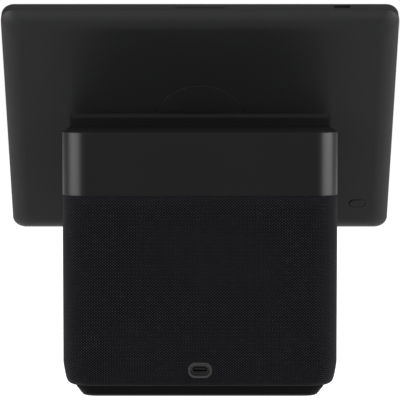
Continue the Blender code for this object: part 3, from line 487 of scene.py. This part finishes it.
def cutOff(piece, point, normal):
    # cuts off what lies on the normal's side of a plane, and fills the cut
    bpy.context.view_layer.objects.active = piece
    bpy.ops.object.mode_set(mode="EDIT")
    bpy.ops.mesh.select_mode(type="FACE")
    bpy.ops.mesh.select_all(action="SELECT")
    bpy.ops.mesh.bisect(plane_co=point, plane_no=normal, use_fill=True, clear_outer=True)
    bpy.ops.object.mode_set(mode="OBJECT")


def softenEdges(piece, radius, steps=3, angle=35):
    modify(
        piece, "BEVEL", width=radius, segments=steps, limit_method="ANGLE",
        angle_limit=math.radians(angle), harden_normals=False,
    )


def settle(piece, finish, body, stands, onSlope=False, crease=40):
    bpy.ops.object.select_all(action="DESELECT")
    piece.select_set(True)
    bpy.context.view_layer.objects.active = piece
    if onSlope:
        piece.matrix_world = slopeToWorld
        bpy.ops.object.transform_apply(location=True, rotation=True, scale=True)
    bpy.ops.object.shade_smooth_by_angle(angle=math.radians(crease))
    modify(piece, "WEIGHTED_NORMAL", keep_sharp=True, weight=50)
    piece.data.materials.clear()
    piece.data.materials.append(finish)
    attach(piece, body)
    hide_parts(*stands)
    return piece


# The base
footShape = dict(
    steps=16, taper=0.0031, straight=0.0004, deckCorner=0.0115, deckInset=0.0113, deckSink=0.001, edge=0.0003,
    padEdge=((0.0003, 0.0006), (0.0012, 0.0005), (0.0022, 0.0002), (0.0034, 0.0001)),
)


def makeFoot(finishes):
    low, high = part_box("base_plinth")
    padLow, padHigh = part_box("rubber_foot")
    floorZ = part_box("fabric_sleeve")[0].z
    corner = capShape["cornerRadius"] - (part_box("top_cap")[1].x - high.x)
    plinthHigh = Vector((high.x, high.y, floorZ - clearance))
    topLow = Vector((low.x, low.y, plinthHigh.z - footShape["straight"]))
    plinth = roundBlock("plinth", topLow, plinthHigh, 2, corner, footShape["steps"])
    drawEnd(plinth, 2, topLow.z, [(footShape["taper"], low.z - topLow.z)])
    deckInset = Vector((footShape["deckInset"], footShape["deckInset"], 0))
    sleeveLow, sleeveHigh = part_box("fabric_sleeve")
    deckLow, deckHigh = sleeveLow + deckInset, sleeveHigh - deckInset
    deckLow.z, deckHigh.z = plinthHigh.z - footShape["deckSink"], high.z
    deck = roundBlock("deck", deckLow, deckHigh, 2, footShape["deckCorner"], footShape["steps"])
    carve(plinth, deck, "UNION")
    softenEdges(plinth, footShape["edge"], 2, 50)
    settle(plinth, finishes["footPlastic"], "base", ["base_plinth"])

    edge = footShape["padEdge"]
    top = padHigh.z - padLow.z - sum(step for inset, step in edge)
    blockLow = Vector((padLow.x, padLow.y, padHigh.z - top))
    pad = roundBlock("footPad", blockLow, padHigh, 2, corner, footShape["steps"])
    drawEnd(pad, 2, blockLow.z, [(inset, -step) for inset, step in edge])
    settle(pad, finishes["rubber"], "base", ["rubber_foot"])
    print("foot: plinth and rubber pad")


capShape = dict(cornerRadius=0.0155, steps=20, edge=0.0009, wall=0.0025)
plateShape = dict(edge=0.0005, trim=0.02)  # trim is what the slanted cuts take off its top


def makeCap(finishes):
    low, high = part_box("top_cap")
    cap = roundBlock("topCap", low, high, 2, capShape["cornerRadius"], capShape["steps"])
    plateBack = slopeBox("hinge_plate")[1].y
    slopeStart = slopeToWorld @ Vector((0, plateBack + clearance, 0))
    cutOff(cap, slopeStart, -outOfBack)
    softenEdges(cap, capShape["edge"], 3, 50)
    openEnd(cap, 2, low.z)
    modify(cap, "SOLIDIFY", thickness=capShape["wall"], offset=-1)
    settle(cap, finishes["capPlastic"], "base", ["top_cap"])

    slabLow, slabHigh = slopeBox("hinge_plate")
    top = Vector((high.x, high.y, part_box("hinge_plate")[1].z + plateShape["trim"]))
    plate = roundBlock("hingePlate", low, top, 2, capShape["cornerRadius"], capShape["steps"])
    cutOff(plate, slopeToWorld @ Vector((0, slabHigh.y, 0)), outOfBack)
    cutOff(plate, slopeToWorld @ Vector((0, slabLow.y, 0)), -outOfBack)
    cutOff(plate, slopeToWorld @ Vector((0, 0, slabHigh.z)), upSlope)
    softenEdges(plate, plateShape["edge"], 3, 50)
    # painted light: the plate takes a lighter copy of the cap's plastic
    settle(plate, finishes["platePlastic"], "base", ["hinge_plate"])
    print("cap: slanted cap and hinge plate")


sleeveShape = dict(
    cornerRadius=0.0155, steps=20, lip=0.004, thickness=0.0011, foldTop=0.0007, foldSteps=4,
    portLap=0.0004,
    edge=(  # the lower edge: inset, and height above the bottom
        (0, 0.0150), (0.0001, 0.0135), (0.0003, 0.0122), (0.0005, 0.0106), (0.0008, 0.0089),
        (0.0011, 0.0071), (0.0015, 0.0052), (0.0018, 0.0041), (0.0021, 0.0032), (0.0024, 0.0024),
        (0.0028, 0.0018), (0.0033, 0.0012), (0.0040, 0.0007), (0.0047, 0.0003), (0.0055, 0.0001),
        (0.0070, 0),
    ),
)


def makeSleeve(finishes):
    low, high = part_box("fabric_sleeve")
    edge = sleeveShape["edge"]
    start = low.z + edge[0][1]
    rims = [(high.z, sleeveShape["foldTop"], sleeveShape["foldSteps"])]
    upper = Vector((low.x, low.y, start))
    corner = sleeveShape["cornerRadius"]
    sleeve = roundBlock("fabricSleeve", upper, high, 2, corner, sleeveShape["steps"], rims)
    steps = [(after[0], after[1] - before[1]) for before, after in zip(edge, edge[1:])]
    drawEnd(sleeve, 2, start, steps)
    bpy.ops.object.mode_set(mode="EDIT")
    choose("FACE", allAt(2, low.z))
    bpy.ops.mesh.inset(thickness=sleeveShape["lip"])
    bpy.ops.mesh.delete(type="FACE")
    choose("FACE", allAt(2, high.z))
    bpy.ops.mesh.delete(type="FACE")
    bpy.ops.mesh.select_all(action="SELECT")
    bpy.ops.mesh.bisect(plane_co=(0, 0, 0), plane_no=(1, 0, 0))
    bpy.ops.object.mode_set(mode="OBJECT")
    markThreads(sleeve, high)
    modify(sleeve, "SOLIDIFY", thickness=sleeveShape["thickness"], offset=-1)
    portLow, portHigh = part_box("port_bezel")
    inset = Vector((sleeveShape["portLap"], 0, sleeveShape["portLap"]))
    through = Vector((0, 2 * cutterReach, 0))
    carve(sleeve, pill("portCutter", portLow + inset - through, portHigh - inset + through, 1))
    settle(sleeve, finishes["speakerCloth"], "base", ["fabric_sleeve"])
    girth = perimeter(high.x, high.y)
    turned = sum(math.hypot(b[0] - a[0], b[1] - a[1]) for a, b in zip(edge, edge[1:]))
    height = high.z - start + turned + sleeveShape["lip"]
    print(f"sleeve: cloth {girth * 1000:.0f} x {height * 1000:.0f} mm")


def perimeter(halfWide, halfDeep):
    corner = sleeveShape["cornerRadius"]
    return 4 * (halfWide + halfDeep) - 8 * corner + 2 * math.pi * corner


def markThreads(sleeve, high):
    # a UV map in metres: along the girth from the seam at the front, and up the cloth
    corner = sleeveShape["cornerRadius"]
    flatX, flatY = high.x - corner, high.y - corner
    quarter = corner * math.pi / 2
    girth = perimeter(high.x, high.y)

    def alongGirth(spot):
        x, y = abs(spot.x), spot.y
        if y < -flatY and x <= flatX:
            run = x
        elif y < -flatY:
            run = flatX + corner * math.atan2(x - flatX, -flatY - y)
        elif y <= flatY:
            run = flatX + quarter + y + flatY
        elif x > flatX:
            run = flatX + quarter + 2 * flatY + corner * math.atan2(y - flatY, x - flatX)
        else:
            run = girth / 2 - x
        return run if spot.x >= 0 else girth - run

    threads = sleeve.data.uv_layers.new(name="thread")
    verts = sleeve.data.vertices
    for face in sleeve.data.polygons:
        middle = alongGirth(face.center)
        for loop in face.loop_indices:
            spot = verts[sleeve.data.loops[loop].vertex_index].co
            run = alongGirth(spot)
            if abs(run - middle) > girth / 2:
                run += girth if run < middle else -girth
            tucked = max(0, 1 - max(abs(spot.x) / high.x, abs(spot.y) / high.y))
            below = tucked * high.x if spot.z < 0.02 else 0  # the cloth that turns under
            threads.data[loop].uv = (run, spot.z - below)


bezelShape = dict(rim=0.0013, steps=10, floor=0.001, edge=0.00025)


def makePort(finishes):
    low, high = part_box("port_bezel")
    inletLow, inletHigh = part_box("inlet_receptacle")
    openings = frame["record"]["physics"]["openings"]
    port = next(box for box in openings if box["name"] == "power_port")
    floorY = port["box_m"][0][1] - bezelShape["floor"]
    bezel = pill("portBezel", low, high, 1, bezelShape["steps"])
    rim = bezelShape["rim"]
    inset = Vector((rim, 0, rim))
    recessLow, recessHigh = low + inset, high - inset
    recessLow.y, recessHigh.y = floorY, high.y + cutterReach
    carve(bezel, pill("recessCutter", recessLow, recessHigh, 1, bezelShape["steps"]))
    lip = Vector((clearance, 0, clearance))
    mouthLow, mouthHigh = inletLow - lip, inletHigh + lip
    mouthLow.y, mouthHigh.y = low.y - cutterReach, high.y
    carve(bezel, pill("mouthCutter", mouthLow, mouthHigh, 1, bezelShape["steps"]))
    softenEdges(bezel, bezelShape["edge"], 2, 50)
    settle(bezel, finishes["bezelPlastic"], "base", ["port_bezel"])
    print("port: bezel round the inlet")


# The screen
backShape = dict(
    cornerRadius=0.0085, steps=14, straight=0.0007, reach=0.012, roundSteps=18, wall=0.0018, buttonGap=0.0004,
)


def pillow(name, low, high, straightEnd, corner):
    # a slab whose edge stands upright, then rounds over to the flat back
    reach = backShape["reach"]
    base = Vector((high.x, straightEnd, high.z))
    slab = roundBlock(name, low, base, 1, corner, backShape["steps"])
    depth = high.y - straightEnd
    radius = (reach ** 2 + depth ** 2) / (2 * depth)
    count = backShape["roundSteps"]
    turns = [math.asin(reach / radius) * (1 - i / count) for i in range(count + 1)]
    drawEnd(slab, 1, straightEnd, [
        (reach - radius * math.sin(after), radius * (math.cos(after) - math.cos(before)))
        for before, after in zip(turns, turns[1:])
    ])
    return slab


def makeBack(finishes):
    low, high = slopeBox("rear_shell")
    wall = backShape["wall"]
    crease = low.y + backShape["straight"]
    shell = pillow("screenBack", low, high, crease, backShape["cornerRadius"])
    innerLow = low + Vector((wall, -cutterReach, wall))
    innerHigh = high - Vector((wall, wall, wall))
    corner = backShape["cornerRadius"] - wall
    carve(shell, pillow("backSpace", innerLow, innerHigh, crease - wall / 2, corner))
    bpy.ops.mesh.primitive_cylinder_add(
        vertices=discShape["sides"], radius=discSize() + clearance, depth=2 * cutterReach,
        rotation=(math.pi / 2, 0, 0),
    )
    carve(shell, bpy.context.active_object)
    faceLow, faceHigh = buttonFace()
    gap = Vector((backShape["buttonGap"], cutterReach, backShape["buttonGap"]))
    carve(shell, pill("buttonCutter", faceLow - gap, faceHigh + gap, 1))
    settle(shell, finishes["screenPlastic"], "screen", ["rear_shell"], True, 30)
    print("screen back: shell with the hinge and button holes")


def discSize():
    # the disc's visible radius, at its outer face
    points = slopePoints("hinge_disc")
    back = max(point.y for point in points)
    return max(math.hypot(point.x, point.z) for point in points if point.y > back - 0.0001)


def buttonFace():
    # the rear button's outer face, without the flange that keeps it in
    points = slopePoints("rear_button")
    back = max(point.y for point in points)
    return cornersOf([point for point in points if point.y > back - 0.0001])


discShape = dict(
    sides=128, thick=0.0018, ring=0.0027, edge=0.00045, slot=(0.036, 0.0152), slotCorner=0.0058, slotSteps=10,
)


def makeDisc(finishes):
    back = slopeBox("hinge_disc")[1].y
    thick = discShape["thick"]
    bpy.ops.object.select_all(action="DESELECT")
    bpy.ops.mesh.primitive_cylinder_add(
        vertices=discShape["sides"], radius=discSize(), depth=thick, location=(0, back - thick / 2, 0),
        rotation=(math.pi / 2, 0, 0),
    )
    disc = bpy.context.active_object
    disc.name = disc.data.name = "hingeDisc"
    bpy.ops.object.transform_apply(location=True, rotation=True, scale=True)
    bpy.ops.object.mode_set(mode="EDIT")
    choose("FACE", allAt(1, back - thick))
    bpy.ops.mesh.inset(thickness=discShape["ring"])  # the ring on its inner face
    bpy.ops.object.mode_set(mode="OBJECT")
    wide, tall = discShape["slot"]
    reach = Vector((wide / 2, 2 * cutterReach, tall / 2))
    slot = roundBlock("slotCutter", -reach, reach, 1, discShape["slotCorner"], discShape["slotSteps"])
    carve(disc, slot)
    softenEdges(disc, discShape["edge"], 3, 50)
    settle(disc, finishes["screenPlastic"], "screen", ["hinge_disc"], onSlope=True)
    print("hinge disc: round disc with the neck's slot")


frameShape = dict(
    cornerRadius=0.0085, steps=14, frontRound=0.0007, frontSteps=4, rim=0.0012, wall=0.0018, ledge=0.0012,
    windowCorner=0.002, windowSteps=4, rockerSlack=(0.00035, 0.00035, 0.0012),
)


def makeFrame(finishes):
    low, high = slopeBox("screen_frame")
    glassLow, glassHigh = slopeBox("cover_glass")
    corner, steps = frameShape["cornerRadius"], frameShape["steps"]
    rims = [(low.y, frameShape["frontRound"], frameShape["frontSteps"])]
    band = roundBlock("screenFrame", low, high, 1, corner, steps, rims)
    gap = Vector((clearance, 0, clearance))
    recessLow, recessHigh = glassLow - gap, glassHigh + gap
    recessLow.y, recessHigh.y = low.y - cutterReach, glassHigh.y + clearance
    carve(band, roundBlock("glassCutter", recessLow, recessHigh, 1, corner - frameShape["rim"], steps))
    wall = frameShape["wall"]
    inner = Vector((wall, 0, wall))
    spaceLow, spaceHigh = low + inner, high - inner
    spaceLow.y, spaceHigh.y = glassHigh.y + frameShape["ledge"], high.y + cutterReach
    carve(band, roundBlock("spaceCutter", spaceLow, spaceHigh, 1, corner - wall, steps))
    panelLow, panelHigh = slopeBox("display_panel")
    windowLow, windowHigh = panelLow - gap, panelHigh + gap
    windowLow.y, windowHigh.y = low.y - cutterReach, high.y + cutterReach
    windowCorner = frameShape["windowCorner"]
    carve(band, roundBlock("windowCutter", windowLow, windowHigh, 1, windowCorner, frameShape["windowSteps"]))
    rockerLow, rockerHigh = slopeBox("volume_rocker")
    slack = Vector(frameShape["rockerSlack"])
    carve(band, pill("rockerCutter", rockerLow - slack, rockerHigh + slack, 2, 10))
    carveShutter(band, high.z)
    settle(band, finishes["screenPlastic"], "screen", ["screen_frame"], onSlope=True)
    print("screen frame: rim band with rocker slot and shutter recess")


shutterShape = dict(
    recessDepth=0.0012, recessWidth=0.0030, slit=0.0016, slitLong=0.0030, slitDepth=0.004, slitLap=0.001,
    knobWidth=0.0024, knobHeight=0.00105, knobEdge=0.0003,
)


def sliderKnob():
    # the slider's knob, without its stem and blade
    points = slopePoints("shutter_slider")
    top = max(point.z for point in points)
    return cornersOf([point for point in points if point.z > top - shutterShape["recessDepth"]])


def carveShutter(band, top):
    low, high = sliderKnob()
    travel = joints["shutter_slide"]["range_m"][1]
    middle = (low.y + high.y) / 2
    half = shutterShape["recessWidth"] / 2
    floor = top - shutterShape["recessDepth"]
    start = Vector((low.x - clearance, middle - half, floor))
    end = Vector((high.x + travel + clearance, middle + half, top + cutterReach))
    carve(band, pill("shutterCutter", start, end, 2, 10))
    stem = (low.x + high.x) / 2
    halfLong, halfWide = shutterShape["slitLong"] / 2, shutterShape["slit"] / 2
    start = Vector((stem - halfLong, middle - halfWide, floor - shutterShape["slitDepth"]))
    end = Vector((stem + travel + halfLong, middle + halfWide, floor + shutterShape["slitLap"]))
    carve(band, startPiece("slitCutter", start, end))


glassShape = dict(edge=0.0004, edgeSteps=4)


def makeCoverGlass():
    low, high = slopeBox("cover_glass")
    corner = frameShape["cornerRadius"] - frameShape["rim"] - clearance
    rims = [(low.y, glassShape["edge"], glassShape["edgeSteps"])]
    glass = roundBlock("coverGlass", low, high, 1, corner, frameShape["steps"], rims)
    lens = slopeBox("camera_lens")
    finish = makeGlass((low + high) / 2, (lens[0] + lens[1]) / 2)
    settle(glass, finish, "screen", ["cover_glass"], onSlope=True)
    print("cover glass: polished, with a printed border")


# Controls
controlShape = dict(rockerDepth=0.0036, rockerEdge=0.00035, buttonEdge=0.0006)


def makeControls(finishes):
    low, high = slopeBox("volume_rocker")
    low.z = high.z - controlShape["rockerDepth"]
    rocker = pill("volumeRocker", low, high, 2, 12, [(high.z, controlShape["rockerEdge"], 4)])
    settle(rocker, finishes["screenPlastic"], "rocker", ["volume_rocker"], onSlope=True)

    low, high = sliderKnob()
    middle = (low.y + high.y) / 2
    half = shutterShape["knobWidth"] / 2
    knobLow = Vector((low.x, middle - half, high.z - shutterShape["knobHeight"]))
    knobHigh = Vector((high.x, middle + half, high.z))
    knob = pill("shutterKnob", knobLow, knobHigh, 2, 12, [(high.z, shutterShape["knobEdge"], 3)])
    settle(knob, finishes["screenPlastic"], "slider", ["shutter_slider"], onSlope=True)

    low, high = buttonFace()
    low.y = slopeBox("rear_button")[0].y
    button = pill("rearButton", low, high, 1, 14, [(high.y, controlShape["buttonEdge"], 5)])
    settle(button, finishes["screenPlastic"], "button", ["rear_button"], onSlope=True)
    print("controls: volume rocker, shutter knob and rear button")


# Inner pieces keep their solids and take these finishes by slot
slotFinish = dict(
    base_plastic="capPlastic", screen_plastic="screenPlastic", inner_plastic="innerPlastic", rubber="rubber",
    steel="steel", aluminium="aluminium", ferrite="ferrite", cone_paper="conePaper", dome_silk="domeSilk",
    circuit_board="circuitBoard", display_panel="darkPanel", cover_glass="darkPanel", fabric="speakerCloth",
)


def paintNodes(finishes):
    slots = {part["node"]: part["material_slot"] for part in frame["record"]["subparts"]}
    for name, node in nodes.items():
        finish = "inletMetal" if name == "inlet_receptacle" else slotFinish[slots[name]]
        node.data.materials.clear()
        node.data.materials.append(finishes[finish])
    print(f"inner pieces: {len(nodes)} solids painted by slot")


def main():
    finishes = {name: makeMoulded(name) for name in mouldedPlastic}
    finishes.update({name: makeMetal(name) for name in bareMetal})
    finishes["speakerCloth"] = makeCloth()
    finishes["circuitBoard"] = makeBoard()
    finishes["darkPanel"] = makeDarkPanel()
    makeStudio()
    paintNodes(finishes)
    makeFoot(finishes)
    makeSleeve(finishes)
    makePort(finishes)
    makeCap(finishes)
    makeBack(finishes)
    makeDisc(finishes)
    makeFrame(finishes)
    makeCoverGlass()
    makeControls(finishes)


main()
